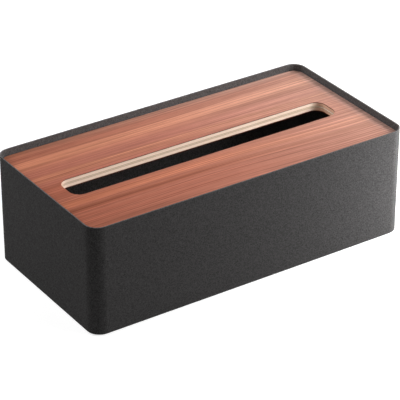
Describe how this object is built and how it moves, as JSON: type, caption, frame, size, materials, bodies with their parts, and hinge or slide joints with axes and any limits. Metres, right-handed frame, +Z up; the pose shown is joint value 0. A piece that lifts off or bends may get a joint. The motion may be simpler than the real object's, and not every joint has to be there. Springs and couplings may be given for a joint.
{
  "type": "tissue box",
  "caption": "Low rectangular tissue box: a dark coated steel shell with a drop-in veneered plywood lid, cut by a long slot that tissues are drawn through.",
  "frame": {"origin": "on the surface that the box stands on, under the middle of the box: the level of the foot pads' undersides", "axes": "+X along the box to its right, +Y to its back, +Z up; the front is the long wall on -Y"},
  "size_m": [0.26, 0.131, 0.084],
  "materials": {
    "coated_steel": "matt black fine-texture powder coat on sheet steel",
    "face_veneer": "straight-grained reddish brown veneer, thin clear satin lacquer",
    "long_grain_ply": "pale core ply with its grain along the box, sanded cut edge",
    "cross_grain_ply": "core ply with its grain across the box, sanded end grain on the cut edge",
    "pad_rubber": "matt black rubber"
  },
  "bodies": {
    "case": {"steel_shell": "coated_steel", "base_pan": "coated_steel", "lid_bracket_front_left": "coated_steel", "lid_bracket_back_left": "coated_steel", "lid_bracket_front_right": "coated_steel", "lid_bracket_back_right": "coated_steel", "foot_pad_front_left": "pad_rubber", "foot_pad_back_left": "pad_rubber", "foot_pad_front_right": "pad_rubber", "foot_pad_back_right": "pad_rubber"},
    "lid": {"lid_face_veneer": "face_veneer", "lid_upper_ply": "long_grain_ply", "lid_cross_ply": "cross_grain_ply", "lid_lower_ply": "long_grain_ply", "lid_back_veneer": "face_veneer"}
  },
  "joints": [
    {"name": "lid_lift", "type": "slide", "parent": "case", "child": "lid", "axis": [0, 0, 1], "range_m": [0, 0.1]}
  ]
}
